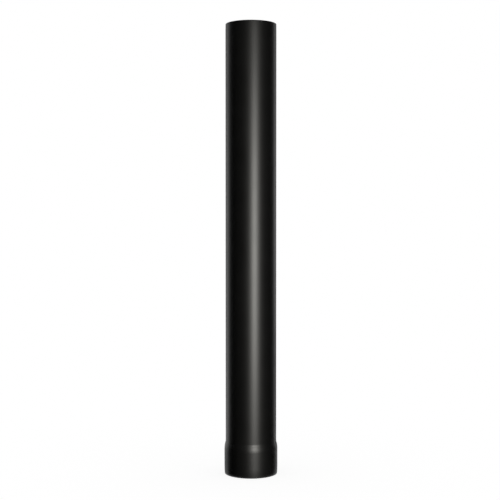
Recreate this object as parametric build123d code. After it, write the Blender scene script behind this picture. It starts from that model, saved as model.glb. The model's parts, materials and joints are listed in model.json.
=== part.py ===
from build123d import *

import os
from math import acos, degrees, sqrt

# Single-wall steel flue pipe: a straight tube whose lower end is swaged out into a socket,
# so that the plain upper end of a second pipe slides into it.
# It is rolled from one sheet and butt-welded up the back, so it is one solid.
# Millimetres. +Z runs up the axis, the origin is the centre of the socket's mouth,
# and the weld is on the +Y side, the back.

# Driving dimensions
LENGTH = 1000.0
OUTER_DIAMETER = 113.0
WALL = 2.0
SOCKET_DEPTH = 55.0  # straight part of the socket, from the mouth to the shoulder
SOCKET_PLAY = 0.8  # gap all round between the socket's bore and the spigot that it takes
CROWN_RADIUS = 52.0  # outside bend where the socket starts to close in
NECK_RADIUS = 18.0  # outside bend where the shoulder runs into the body
EDGE_RADIUS = 0.5  # deburred and coated edges of the two cut ends
WELD_WIDTH = 3.0
WELD_RISE = 0.15  # how far the dressed weld stands proud of the body

# Derived sizes
BODY_RADIUS = OUTER_DIAMETER / 2
SHOULDER_STEP = WALL + SOCKET_PLAY
SOCKET_RADIUS = BODY_RADIUS + SHOULDER_STEP
SHOULDER_SLOPE = degrees(acos(1 - SHOULDER_STEP / (CROWN_RADIUS + NECK_RADIUS)))
EDGE_ROUNDING = min(EDGE_RADIUS, 0.4 * WALL)  # both edges of a cut end fit its wall


def wall_line(inset, low, high):
    """Edges of the half section that run up the wall, this far inside its outer face.

    The bends keep their centres at any inset, so the wall is equally thick all the way.
    """
    socket = Line((SOCKET_RADIUS - inset, low), (SOCKET_RADIUS - inset, SOCKET_DEPTH))
    crown = JernArc(socket @ 1, socket % 1, CROWN_RADIUS - inset, SHOULDER_SLOPE)
    neck = JernArc(crown @ 1, crown % 1, NECK_RADIUS + inset, -SHOULDER_SLOPE)
    body = Line(neck @ 1, (BODY_RADIUS - inset, high))
    return [socket, crown, neck, body]


def swaged_tube():
    """The rolled and swaged wall, with its four cut edges rounded."""
    outer = wall_line(0, 0, LENGTH)
    inner = wall_line(WALL, 0, LENGTH)
    mouth = Line(inner[0] @ 0, outer[0] @ 0)
    spigot_end = Line(outer[-1] @ 1, inner[-1] @ 1)
    section = make_face([*outer, spigot_end, *inner, mouth])
    by_height = section.vertices().group_by(Axis.Y)
    section = fillet([*by_height[0], *by_height[-1]], EDGE_ROUNDING)
    return revolve(Plane.XZ * section, Axis.Z)


def weld_cap():
    """The dressed weld: a low crowned strip that follows the outer face up the back.

    Its section is the top of a round bead, rooted in the middle of the wall.
    """
    half_width = WELD_WIDTH / 2
    fall = BODY_RADIUS - sqrt(BODY_RADIUS**2 - half_width**2)  # of the body at the weld's sides
    crown = WELD_RISE + fall
    bead_radius = (half_width**2 + crown**2) / (2 * crown)
    bead = Pos(0, WELD_RISE - bead_radius) * Circle(bead_radius)
    below_root = Rectangle(2 * bead_radius, 2 * bead_radius, align=(Align.CENTER, Align.MAX))
    section = bead - Pos(0, -WALL / 2) * below_root

    route = Plane.YZ * Wire(wall_line(0, EDGE_ROUNDING, LENGTH - EDGE_ROUNDING))
    across = Plane(route @ 0, x_dir=(1, 0, 0), z_dir=route % 0)
    return sweep(across * section, path=route)


flue_pipe = swaged_tube() + weld_cap()

os.makedirs("parts", exist_ok=True)
export_step(flue_pipe, "parts/flue_pipe.step")
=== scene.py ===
"""The look of a black coated steel flue pipe that stands on its socket, in metres.

The pipe is one piece of rolled, welded and swaged sheet, so the scene has one piece: a fine
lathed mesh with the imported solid's section and weld, two ends that are drawn in a little, and
a satin black coating. Dark cards, nets and doors, which the camera doesn't see, shape the light.
"""

import json
import math

import bpy
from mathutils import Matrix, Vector


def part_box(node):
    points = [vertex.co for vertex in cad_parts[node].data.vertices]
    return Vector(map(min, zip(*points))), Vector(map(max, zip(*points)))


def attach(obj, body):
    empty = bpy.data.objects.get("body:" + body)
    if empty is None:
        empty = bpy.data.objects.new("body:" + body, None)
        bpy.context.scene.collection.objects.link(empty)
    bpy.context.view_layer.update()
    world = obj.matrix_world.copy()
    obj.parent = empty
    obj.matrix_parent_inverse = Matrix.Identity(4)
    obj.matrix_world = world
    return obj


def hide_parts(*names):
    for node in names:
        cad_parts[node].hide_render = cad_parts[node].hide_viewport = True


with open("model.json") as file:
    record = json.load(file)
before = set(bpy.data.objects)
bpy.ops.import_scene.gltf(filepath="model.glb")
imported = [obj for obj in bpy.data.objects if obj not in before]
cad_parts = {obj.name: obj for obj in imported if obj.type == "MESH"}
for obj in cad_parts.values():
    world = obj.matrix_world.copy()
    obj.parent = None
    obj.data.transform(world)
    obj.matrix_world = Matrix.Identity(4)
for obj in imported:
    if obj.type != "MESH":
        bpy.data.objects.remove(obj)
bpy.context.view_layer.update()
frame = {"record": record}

MM = 0.001
NODE = "flue_pipe"

# Directions round the pipe's axis, from +X
FRONT = math.radians(-90)
BACK = math.radians(90)

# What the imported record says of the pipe
mounts = {mount["name"]: mount for mount in frame["record"]["mounts"]}


def radius_of(name):
    """Radius of a round mount's wall."""
    return mounts[name]["dims"]["r_mm"] * MM


def span_of(name):
    """Heights where a round mount's wall starts and ends."""
    half = mounts[name]["dims"]["length_mm"] * MM / 2
    middle = mounts[name]["pos_m"][2]
    return middle - half, middle + half


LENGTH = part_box(NODE)[1].z
BODY_RADIUS = radius_of("spigot")
WALL = BODY_RADIUS - radius_of("flue_bore")
SOCKET_RADIUS = radius_of("socket") + WALL
SOCKET_TOP = span_of("socket")[1]
BODY_START, BODY_END = span_of("spigot")
EDGE_RADIUS = LENGTH - BODY_END

# The shoulder is two tangent bends, and the lower one, the crown, is the wider
CROWN_SHARE = 52 / 70  # of both radii together
SHOULDER_SLOPE = 2 * math.atan((SOCKET_RADIUS - BODY_RADIUS) / (BODY_START - SOCKET_TOP))
BENDS = (BODY_START - SOCKET_TOP) / math.sin(SHOULDER_SLOPE)
CROWN_RADIUS = CROWN_SHARE * BENDS
NECK_RADIUS = BENDS - CROWN_RADIUS

# Both ends are drawn in a little over their last stretch, which makes the highlight fade there
MOUTH_TURN = 0.7 * MM
MOUTH_HEIGHT = 20.0 * MM
TIP_TURN = 0.2 * MM
TIP_HEIGHT = 22.0 * MM

# The dressed weld up the back
WELD_WIDTH = 3.0 * MM
WELD_RISE = 0.15 * MM
WELD_ANGLE = BACK

# Rows and columns of the mesh
COLUMNS = 256
WELD_COLUMNS = 10
CLEAR_COLUMNS = 2  # from the weld's middle to the first even column that is clear of it
EDGE_STEPS = 6
BEND_STEPS = 14
END_STEPS = 10
SOCKET_STEPS = 10
BODY_STEPS = 48

# The map has two strips side by side: the outer face and the inner one
UV_STRIP = 0.5
UV_MARGIN = 0.004

# The coating: a mottle that varies its tone and gloss, an orange peel, and a finer grain on top
COATING_IOR = 1.5
TONE_LOW = 0.0022
TONE_HIGH = 0.0040
ROUGHNESS_LOW = 0.365
ROUGHNESS_HIGH = 0.405
MOTTLE_SCALE = 24.0
MOTTLE_DETAIL = 3.0
PEEL_SCALE = 190.0
PEEL_DETAIL = 2.0
PEEL_DEPTH = 0.04 * MM
GRAIN_SCALE = 1500.0
GRAIN_DETAIL = 3.0
GRAIN_DEPTH = 0.02 * MM

# The photo's view, from a little above the pipe's middle
CAMERA_DISTANCE = 2.3656
CAMERA_HEIGHT = 0.5641
CAMERA_SIDE = -0.0021
CAMERA_DIP = math.radians(1.566)
LENS_MM = 76.36

# Lamps: azimuth 0 is the camera's side
LIGHT_DISTANCE = 2.0
LIGHT_HEIGHT = 0.41
KEY_AZIMUTH = math.radians(16.2)
KEY_SIZE = (0.7, 1.1)
KEY_WATTS = 38.0
KEY_COLOR = (1.0, 0.985, 0.93)
STRIP_AZIMUTH = math.radians(180)
STRIP_SIZE = (0.2, 1.1)
STRIP_WATTS = 13.0
STRIP_COLOR = (1.0, 1.0, 1.0)

# The white studio: its light on rough surfaces, and a floor that shows a shadow near the foot
FILL_STRENGTH = 0.2
FLOOR_RADIUS = 12.0
FLOOR_SIDES = 64
FLOOR_TONE = 0.8
SHADOW_REACH = 0.9

# Dark cards round the pipe, and how many degrees they reach left and right, seen from outside
CLOTH_TONE = 0.02
CARD_RADIUS = 3.2
CARD_HEIGHT = 4.0
CARD_START = 0.062
CARD_LIFT = 0.001
CARD_COLUMNS = 48
FRONT_WALL_SIDES = (117, 127)
FRONT_FLOOR_SIDES = (119, 134)
FRONT_FOOT_SIDES = (60, 60)
BACK_WALL_SIDES = (28, 27)
BACK_FLOOR_SIDES = (35, 27)
ALL_ROUND = (180, 180)

# Nets that dim the white floor near the foot, a painted shadow of the pipe as reflections show the floor,
# and the white far above it
FOOT_SHADE_NET_REACH = 0.35
FOOT_SHADE_NET_COVER = 0.45
HIGH_NET_START = 1.1
HIGH_NET_COVER = 0.25

# Doors close to the pipe that keep the key off its outermost flanks
DOOR_DISTANCE = 0.08
DOOR_EDGE = 0.0485
DOOR_REACH = 0.3
DOOR_FOOT = 0.002
DOOR_HEIGHT = 1.4


def curve(centre, radius, start, end, steps):
    """Points of an arc in the half section, from one angle to another, in radians."""
    turn = (end - start) / steps
    angles = [start + turn * i for i in range(steps + 1)]
    return [(centre[0] + radius * math.cos(a), centre[1] + radius * math.sin(a)) for a in angles]


def run(start, end, steps):
    """Points of a straight stretch, closer together towards both ends."""
    shares = [(1 - math.cos(math.pi * i / steps)) / 2 for i in range(steps + 1)]
    return [(start[0] + (end[0] - start[0]) * s, start[1] + (end[1] - start[1]) * s) for s in shares]


def joined(*stretches):
    """One list of points from stretches that start where the last one ended."""
    points = list(stretches[0])
    for stretch in stretches[1:]:
        points += stretch[1:]
    return points


def drawn_in(radius, start, end, turn):
    """Points up or down a wall, from its straight part to the rounded edge of an end that is drawn in."""
    edge = end + math.copysign(EDGE_RADIUS, start - end)
    heights = [start + (edge - start) * i / END_STEPS for i in range(END_STEPS + 1)]
    return [(radius - turn * ((z - start) / (end - start)) ** 2, z) for z in heights]


def wall_line(inset):
    """Points up the wall, this far inside its outer face, between the rounded cut edges."""
    socket = SOCKET_RADIUS - inset
    body = BODY_RADIUS - inset
    crown_centre = (SOCKET_RADIUS - CROWN_RADIUS, SOCKET_TOP)
    neck_centre = (BODY_RADIUS + NECK_RADIUS, BODY_START)
    crown = curve(crown_centre, CROWN_RADIUS - inset, 0, SHOULDER_SLOPE, BEND_STEPS)
    neck = curve(neck_centre, NECK_RADIUS + inset, math.pi + SHOULDER_SLOPE, math.pi, BEND_STEPS)
    tip_start = LENGTH - TIP_HEIGHT
    return joined(
        drawn_in(socket, MOUTH_HEIGHT, 0, MOUTH_TURN)[::-1],
        run((socket, MOUTH_HEIGHT), (socket, SOCKET_TOP), SOCKET_STEPS),
        crown,
        neck,
        run((body, BODY_START), (body, tip_start), BODY_STEPS),
        drawn_in(body, tip_start, LENGTH, TIP_TURN),
    )


def cut_end(radius, height, up):
    """Points over a cut end, from its outer face to its inner one."""
    level = height - EDGE_RADIUS * up
    outer = (radius - EDGE_RADIUS, level)
    inner = (radius - WALL + EDGE_RADIUS, level)
    quarter = math.pi / 2 * up
    return joined(
        curve(outer, EDGE_RADIUS, 0, quarter, EDGE_STEPS),
        curve(inner, EDGE_RADIUS, quarter, 2 * quarter, EDGE_STEPS),
    )


def weld_height(along):
    """How far the weld stands proud of the wall, this far round from its middle."""
    share = 2 * along / WELD_WIDTH
    return WELD_RISE * max(0.0, 1 - share * share)


def column_angles():
    """Angles of the mesh's columns: even ones, and closer ones across the weld."""
    half_weld = WELD_WIDTH / 2 / BODY_RADIUS
    step = 2 * math.pi / COLUMNS
    even = [WELD_ANGLE + step * i for i in range(CLEAR_COLUMNS, COLUMNS - CLEAR_COLUMNS + 1)]
    across = [2 * i / WELD_COLUMNS - 1 for i in range(WELD_COLUMNS + 1)]
    return [WELD_ANGLE + half_weld * share for share in across] + even


def mesh_object(name, points, faces):
    """A new smooth-shaded mesh object in the scene."""
    mesh = bpy.data.meshes.new(name)
    mesh.from_pydata(points, [], faces)
    mesh.shade_smooth()
    made = bpy.data.objects.new(name, mesh)
    bpy.context.scene.collection.objects.link(made)
    return made


def pipe_mesh():
    """The pipe: its half section turned about the axis, with the weld raised on the outside."""
    outer = wall_line(0)
    inner = wall_line(WALL)
    over = cut_end(outer[-1][0], LENGTH, 1)
    under = cut_end(outer[0][0], 0, -1)
    section = joined(outer, over, inner[::-1], under[::-1])[:-1]
    angles = column_angles()
    points = []
    for row, (radius, height) in enumerate(section):
        for angle in angles:
            proud = weld_height((angle - WELD_ANGLE) * radius) if row < len(outer) else 0.0
            reach = radius + proud
            points.append((reach * math.cos(angle), reach * math.sin(angle), height))
    wide = len(angles)
    tall = len(section)
    faces = []
    for row in range(tall):
        above = (row + 1) % tall
        for column in range(wide):
            beside = (column + 1) % wide
            faces.append(
                (row * wide + column, row * wide + beside, above * wide + beside, above * wide + column)
            )
    made = mesh_object("flue_pipe_wall", points, faces)
    unwrap(made.data, section, angles, len(outer) + EDGE_STEPS)
    return made


def unwrap(mesh, section, angles, top_row):
    """A map with the outer and the inner face side by side, both cut open along the weld."""
    lengths = [0.0]
    for here, there in zip(section, section[1:] + section[:1]):
        lengths.append(lengths[-1] + math.dist(here, there))
    tallest = max(lengths[top_row], lengths[-1] - lengths[top_row])
    around = [(angle - angles[0]) / (2 * math.pi) for angle in angles] + [1.0]
    wide = UV_STRIP - 2 * UV_MARGIN
    tall = 1 - 2 * UV_MARGIN
    corners = []
    for row in range(len(section)):
        inside = row >= top_row
        left = UV_MARGIN + (UV_STRIP if inside else 0.0)
        start = lengths[top_row] if inside else 0.0
        low, high = [UV_MARGIN + tall * (lengths[i] - start) / tallest for i in (row, row + 1)]
        for column in range(len(angles)):
            here, beside = [left + wide * share for share in around[column : column + 2]]
            corners += [here, low, beside, low, beside, high, here, high]
    mesh.uv_layers.new(name="OFBake").uv.foreach_set("vector", corners)


def grey(tone):
    """A colour without a tint."""
    return (tone, tone, tone, 1)


def new_material(name):
    """A new material, its nodes, and a function that joins two sockets."""
    material = bpy.data.materials.new(name)
    material.use_nodes = True
    material.node_tree.nodes.clear()
    return material, material.node_tree.nodes, material.node_tree.links.new


def black_coating():
    """Satin black heat-proof coating: a fine even grain, and a gloss that varies a little."""
    material, nodes, join = new_material("black_coating")
    out = nodes.new("ShaderNodeOutputMaterial")
    shader = nodes.new("ShaderNodeBsdfPrincipled")
    shader.inputs["IOR"].default_value = COATING_IOR
    place = nodes.new("ShaderNodeTexCoord")

    def noise(scale, detail):
        made = nodes.new("ShaderNodeTexNoise")
        made.inputs["Scale"].default_value = scale
        made.inputs["Detail"].default_value = detail
        join(place.outputs["Object"], made.inputs["Vector"])
        return made.outputs["Fac"]

    mottle = noise(MOTTLE_SCALE, MOTTLE_DETAIL)
    tone = nodes.new("ShaderNodeMix")
    tone.data_type = "RGBA"
    tone.inputs["A"].default_value = grey(TONE_LOW)
    tone.inputs["B"].default_value = grey(TONE_HIGH)
    join(mottle, tone.inputs["Factor"])
    join(tone.outputs["Result"], shader.inputs["Base Color"])

    gloss = nodes.new("ShaderNodeMapRange")
    gloss.inputs["To Min"].default_value = ROUGHNESS_LOW
    gloss.inputs["To Max"].default_value = ROUGHNESS_HIGH
    join(mottle, gloss.inputs["Value"])
    join(gloss.outputs["Result"], shader.inputs["Roughness"])

    peel = nodes.new("ShaderNodeBump")
    peel.inputs["Distance"].default_value = PEEL_DEPTH
    join(noise(PEEL_SCALE, PEEL_DETAIL), peel.inputs["Height"])
    grain = nodes.new("ShaderNodeBump")
    grain.inputs["Distance"].default_value = GRAIN_DEPTH
    join(noise(GRAIN_SCALE, GRAIN_DETAIL), grain.inputs["Height"])
    join(peel.outputs["Normal"], grain.inputs["Normal"])
    join(grain.outputs["Normal"], shader.inputs["Normal"])
    join(shader.outputs["BSDF"], out.inputs["Surface"])
    return material


def seen_rays(nodes, join):
    """1 for the rays that show the white background: the camera's, reflections and what is seen through."""
    path = nodes.new("ShaderNodeLightPath")
    first = nodes.new("ShaderNodeMath")
    first.operation = "ADD"
    join(path.outputs["Is Camera Ray"], first.inputs[0])
    join(path.outputs["Is Glossy Ray"], first.inputs[1])
    both = nodes.new("ShaderNodeMath")
    both.operation = "ADD"
    both.use_clamp = True
    join(first.outputs["Value"], both.inputs[0])
    join(path.outputs["Is Transmission Ray"], both.inputs[1])
    return both.outputs["Value"]


def white_world():
    """White where it is seen, and a soft even fill elsewhere."""
    world = bpy.data.worlds.new("studio")
    world.use_nodes = True
    nodes = world.node_tree.nodes
    nodes.clear()
    join = world.node_tree.links.new
    out = nodes.new("ShaderNodeOutputWorld")
    light = nodes.new("ShaderNodeBackground")
    light.inputs["Color"].default_value = grey(1)
    strength = nodes.new("ShaderNodeMapRange")
    strength.inputs["To Min"].default_value = FILL_STRENGTH
    strength.inputs["To Max"].default_value = 1.0
    join(seen_rays(nodes, join), strength.inputs["Value"])
    join(strength.outputs["Result"], light.inputs["Strength"])
    join(light.outputs["Background"], out.inputs["Surface"])
    bpy.context.scene.world = world


def floor_material():
    """Pale floor that shows white, with the pipe's soft shadow near its foot."""
    material, nodes, join = new_material("pale_floor")
    out = nodes.new("ShaderNodeOutputMaterial")
    plain = nodes.new("ShaderNodeBsdfDiffuse")
    plain.inputs["Color"].default_value = grey(FLOOR_TONE)

    place = nodes.new("ShaderNodeTexCoord")
    away = nodes.new("ShaderNodeVectorMath")
    away.operation = "LENGTH"
    join(place.outputs["Object"], away.inputs[0])
    near = nodes.new("ShaderNodeMapRange")
    near.interpolation_type = "SMOOTHSTEP"
    near.inputs["From Min"].default_value = BODY_RADIUS
    near.inputs["From Max"].default_value = SHADOW_REACH
    near.inputs["To Min"].default_value = 1.0
    near.inputs["To Max"].default_value = 0.0
    join(away.outputs["Value"], near.inputs["Value"])

    glow = nodes.new("ShaderNodeMapRange")
    glow.inputs["To Min"].default_value = 1.0
    glow.inputs["To Max"].default_value = 1.0 - FLOOR_TONE * FILL_STRENGTH
    join(near.outputs["Result"], glow.inputs["Value"])
    shine = nodes.new("ShaderNodeEmission")
    join(glow.outputs["Result"], shine.inputs["Strength"])
    tone = nodes.new("ShaderNodeMapRange")
    tone.inputs["To Max"].default_value = FLOOR_TONE
    join(near.outputs["Result"], tone.inputs["Value"])
    shaded = nodes.new("ShaderNodeBsdfDiffuse")
    join(tone.outputs["Result"], shaded.inputs["Color"])
    white = nodes.new("ShaderNodeAddShader")
    join(shine.outputs["Emission"], white.inputs[0])
    join(shaded.outputs["BSDF"], white.inputs[1])

    mix = nodes.new("ShaderNodeMixShader")
    join(seen_rays(nodes, join), mix.inputs["Fac"])
    join(plain.outputs["BSDF"], mix.inputs[1])
    join(white.outputs["Shader"], mix.inputs[2])
    join(mix.outputs["Shader"], out.inputs["Surface"])
    return material


def floor():
    """A round floor under the pipe."""
    rim = [2 * math.pi * i / FLOOR_SIDES for i in range(FLOOR_SIDES)]
    points = [(FLOOR_RADIUS * math.cos(a), FLOOR_RADIUS * math.sin(a), 0) for a in rim]
    made = mesh_object("floor", points, [tuple(range(FLOOR_SIDES))])
    made.data.materials.append(floor_material())


def black_cloth(name, cover):
    """Black cloth, or a net whose threads cover this share of what lies behind it."""
    material, nodes, join = new_material(name)
    out = nodes.new("ShaderNodeOutputMaterial")
    gaps = nodes.new("ShaderNodeBsdfTransparent")
    threads = nodes.new("ShaderNodeBsdfDiffuse")
    threads.inputs["Color"].default_value = grey(CLOTH_TONE)
    weave = nodes.new("ShaderNodeMixShader")
    weave.inputs["Fac"].default_value = cover
    join(gaps.outputs["BSDF"], weave.inputs[1])
    join(threads.outputs["BSDF"], weave.inputs[2])
    join(weave.outputs["Shader"], out.inputs["Surface"])
    return material


def dark_card(name, near, far, cover=1.0):
    """A card or net between two lines of points, seen only in reflections."""
    wide = len(near)
    faces = [(i, i + 1, wide + i + 1, wide + i) for i in range(wide - 1)]
    made = mesh_object(name, near + far, faces)
    made.data.materials.append(black_cloth(name, cover))
    made.visible_camera = False
    made.visible_diffuse = False
    made.visible_transmission = False
    made.visible_shadow = False
    return made


def ring(middle, sides, radius, height):
    """Points of an arc round the pipe's axis, this many degrees left and right of its middle."""
    left, right = [math.radians(side) for side in sides]
    turns = [-left + (left + right) * i / CARD_COLUMNS for i in range(CARD_COLUMNS + 1)]
    return [(radius * math.cos(middle + t), radius * math.sin(middle + t), height) for t in turns]


def wall_card(name, middle, sides):
    """A dark wall that stands round the pipe."""
    low = ring(middle, sides, CARD_RADIUS, CARD_LIFT)
    dark_card(name, low, ring(middle, sides, CARD_RADIUS, CARD_HEIGHT))


def floor_card(name, near, middle, sides):
    """Dark cloth on the floor, from a line near the pipe's foot outwards."""
    dark_card(name, near, ring(middle, sides, CARD_RADIUS, CARD_LIFT))


def nets():
    """Nets all round: one just over the floor near the foot, which paints the pipe's shadow into the
    floor's reflection, and one high up on the wall.
    """
    lift = CARD_LIFT / 2
    near = ring(FRONT, ALL_ROUND, CARD_START, lift)
    # Painted shade: this net darkens the floor near the foot in reflections, in place of the pipe's shadow
    # there
    dark_card("foot_net", near, ring(FRONT, ALL_ROUND, FOOT_SHADE_NET_REACH, lift), FOOT_SHADE_NET_COVER)
    radius = CARD_RADIUS - CARD_LIFT
    low = ring(FRONT, ALL_ROUND, radius, HIGH_NET_START)
    dark_card("high_net", low, ring(FRONT, ALL_ROUND, radius, CARD_HEIGHT), HIGH_NET_COVER)


def dark_cards():
    """Dark cards round the front, wider on the floor, narrow ones behind, and the nets."""
    wall_card("front_wall_card", FRONT, FRONT_WALL_SIDES)
    front_foot = ring(FRONT, FRONT_FOOT_SIDES, CARD_START, CARD_LIFT)
    floor_card("front_floor_card", front_foot, FRONT, FRONT_FLOOR_SIDES)
    wall_card("back_wall_card", BACK, BACK_WALL_SIDES)
    back_foot = ring(BACK, BACK_FLOOR_SIDES, FOOT_SHADE_NET_REACH, CARD_LIFT)
    floor_card("back_floor_card", back_foot, BACK, BACK_FLOOR_SIDES)
    nets()


def key_doors():
    """Two dark doors between the key and the pipe's flanks, so that it washes out no edge from behind."""
    ahead = Vector((math.sin(KEY_AZIMUTH), -math.cos(KEY_AZIMUTH), 0))
    across = Vector((math.cos(KEY_AZIMUTH), math.sin(KEY_AZIMUTH), 0))
    doors = []
    for name, side in (("left_door", -1), ("right_door", 1)):
        ends = [ahead * DOOR_DISTANCE + across * reach * side for reach in (DOOR_EDGE, DOOR_REACH)]
        low = [(end.x, end.y, DOOR_FOOT) for end in ends]
        high = [(end.x, end.y, DOOR_HEIGHT) for end in ends]
        door = dark_card(name, low, high)
        door.visible_shadow = True
        doors.append(door)
    return doors


def collection_of(name, objects):
    """A collection that only light linking uses."""
    made = bpy.data.collections.new(name)
    for each in objects:
        made.objects.link(each)
    return made


def soft_box(name, azimuth, size, watts, color, lit, blockers):
    """A soft box that faces the pipe's axis and lights only one collection."""
    data = bpy.data.lights.new(name, "AREA")
    data.shape = "RECTANGLE"
    data.size, data.size_y = size
    data.energy = watts
    data.color = color
    made = bpy.data.objects.new(name, data)
    made.location = (
        LIGHT_DISTANCE * math.sin(azimuth),
        -LIGHT_DISTANCE * math.cos(azimuth),
        LIGHT_HEIGHT,
    )
    aim = Vector((0, 0, LIGHT_HEIGHT)) - made.location
    made.rotation_euler = aim.to_track_quat("-Z", "Y").to_euler()
    made.visible_camera = False
    made.light_linking.receiver_collection = lit
    made.light_linking.blocker_collection = blockers
    bpy.context.scene.collection.objects.link(made)


def lights(piece):
    """A wide soft box beside the camera, and a narrow strip straight behind the pipe."""
    lit = collection_of("lit", [piece])
    blockers = collection_of("key_blockers", [piece] + key_doors())
    soft_box("key", KEY_AZIMUTH, KEY_SIZE, KEY_WATTS, KEY_COLOR, lit, blockers)
    soft_box("back_strip", STRIP_AZIMUTH, STRIP_SIZE, STRIP_WATTS, STRIP_COLOR, lit, lit)


def camera():
    """The photo's viewpoint."""
    level = math.radians(90)
    data = bpy.data.cameras.new("camera")
    data.lens = LENS_MM
    made = bpy.data.objects.new("camera", data)
    made.location = (CAMERA_SIDE, -CAMERA_DISTANCE, CAMERA_HEIGHT)
    made.rotation_euler = (level - CAMERA_DIP, 0, 0)
    bpy.context.scene.collection.objects.link(made)
    bpy.context.scene.camera = made


pipe = pipe_mesh()
pipe.data.materials.append(black_coating())
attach(pipe, "root")
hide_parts(NODE)

white_world()
floor()
dark_cards()
lights(pipe)
camera()
bpy.context.scene.view_settings.view_transform = "Standard"
